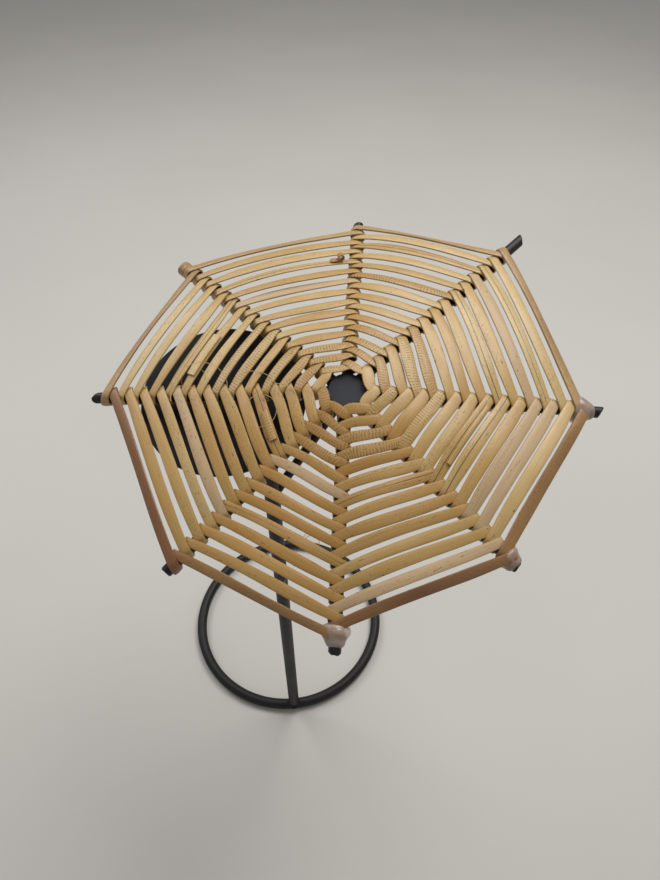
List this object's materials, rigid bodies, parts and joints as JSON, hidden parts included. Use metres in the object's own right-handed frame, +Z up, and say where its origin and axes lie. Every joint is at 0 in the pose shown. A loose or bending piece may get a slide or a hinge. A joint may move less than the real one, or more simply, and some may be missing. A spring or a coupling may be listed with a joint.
{
  "type": "conical hat",
  "caption": "Small ornamental conical hat of woven cane on round iron rods, tilted on an iron stand with an upright post and a ring base.",
  "frame": {"origin": "middle of the stand's ring, on the surface that it lies on", "axes": "+Z up along the post; -Y towards the side that the hat leans down to and where the post stands; +X to the right seen from there"},
  "size_m": [0.2121, 0.2117, 0.3122],
  "materials": {
    "stand_iron": "semi-matt black paint",
    "rod_iron": "semi-matt black paint, rough cut ends",
    "plate_iron": "matt bluish-black paint",
    "cane": "glossy split cane, honey coloured",
    "rim_cane": "glossy split cane, reddish-brown",
    "glue": "clear set glue"
  },
  "bodies": {
    "root": {"cane_end_lower_left": "cane", "cane_round_01": "cane", "cane_round_02": "cane", "cane_round_03": "cane", "cane_round_04": "cane", "cane_round_05": "cane", "cane_round_06": "cane", "cane_round_07": "cane", "cane_round_08": "cane", "cane_round_09": "cane", "cane_round_10": "cane", "cane_round_11": "cane", "cane_round_12": "cane", "cane_round_13": "cane", "cane_round_14": "rim_cane", "cane_sleeve_upper_left": "cane", "cane_splice_right": "cane", "cane_splice_upper_left": "cane", "cane_tail_top": "cane", "glue_bottom": "glue", "glue_lower_right": "glue", "glue_right": "glue", "hub_disc": "plate_iron", "hub_strut": "stand_iron", "rib_bottom": "rod_iron", "rib_left": "rod_iron", "rib_lower_left": "rod_iron", "rib_lower_right": "rod_iron", "rib_right": "rod_iron", "rib_top": "rod_iron", "rib_upper_left": "rod_iron", "rib_upper_right": "rod_iron", "stand_post": "stand_iron", "stand_ring": "stand_iron", "under_plate": "plate_iron", "weld_foot": "stand_iron"}
  },
  "joints": []
}
